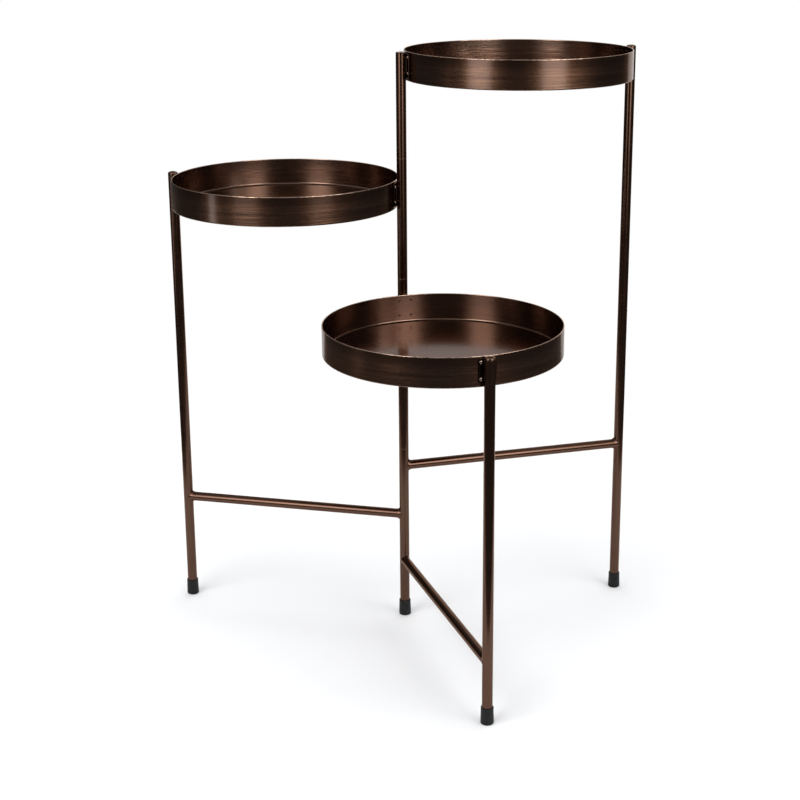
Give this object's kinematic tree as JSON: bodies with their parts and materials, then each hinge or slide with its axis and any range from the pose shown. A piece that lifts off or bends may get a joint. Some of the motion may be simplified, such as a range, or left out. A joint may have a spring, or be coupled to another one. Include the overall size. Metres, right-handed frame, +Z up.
{
  "type": "tiered plant stand",
  "caption": "Folding plant stand of round trays at stepped heights, each on a two-legged frame that swivels about a shared centre post.",
  "frame": {"origin": "on the post axis, at the floor under the post's rubber foot", "axes": "+Z up along the post; +X to the right and +Y away from the camera in the picture's view"},
  "size_m": [0.5716, 0.4562, 0.7125],
  "materials": {
    "tube_bronze": "dark bronze, satin, fine grain along the tube",
    "tray_bronze": "dark bronze, satin, fine brushing round the wall",
    "spindle_steel": "drawn bright steel",
    "foot_rubber": "matt black"
  },
  "bodies": {
    "tall_frame": {"tall_tray": "tray_bronze", "tall_leg": "tube_bronze", "tall_leg_cap": "tube_bronze", "tall_cross_bar": "tube_bronze", "tall_foot": "foot_rubber", "tall_leg_bracket": "tube_bronze", "tall_post_bracket": "tube_bronze", "tall_post_sleeve": "tube_bronze", "tall_bar_sleeve": "tube_bronze", "post_foot_tube": "tube_bronze", "spindle": "spindle_steel", "post_cap_screw": "tube_bronze", "post_foot": "foot_rubber"},
    "middle_frame": {"middle_tray": "tray_bronze", "middle_leg": "tube_bronze", "middle_leg_cap": "tube_bronze", "middle_cross_bar": "tube_bronze", "middle_foot": "foot_rubber", "middle_leg_bracket": "tube_bronze", "middle_post_bracket": "tube_bronze", "middle_post_sleeve": "tube_bronze", "middle_bar_sleeve": "tube_bronze"},
    "low_frame": {"low_tray": "tray_bronze", "low_leg": "tube_bronze", "low_leg_cap": "tube_bronze", "low_cross_bar": "tube_bronze", "low_foot": "foot_rubber", "low_leg_bracket": "tube_bronze", "low_post_bracket": "tube_bronze", "low_post_sleeve": "tube_bronze", "low_bar_sleeve": "tube_bronze"}
  },
  "joints": [
    {"name": "middle_frame_swivel", "type": "hinge", "parent": "tall_frame", "child": "middle_frame", "pos_m": [0, 0, 0], "axis": [0, 0, 1], "range_deg": [-147, 60]},
    {"name": "low_frame_swivel", "type": "hinge", "parent": "tall_frame", "child": "low_frame", "pos_m": [0, 0, 0], "axis": [0, 0, 1], "range_deg": [-58, 82]}
  ]
}
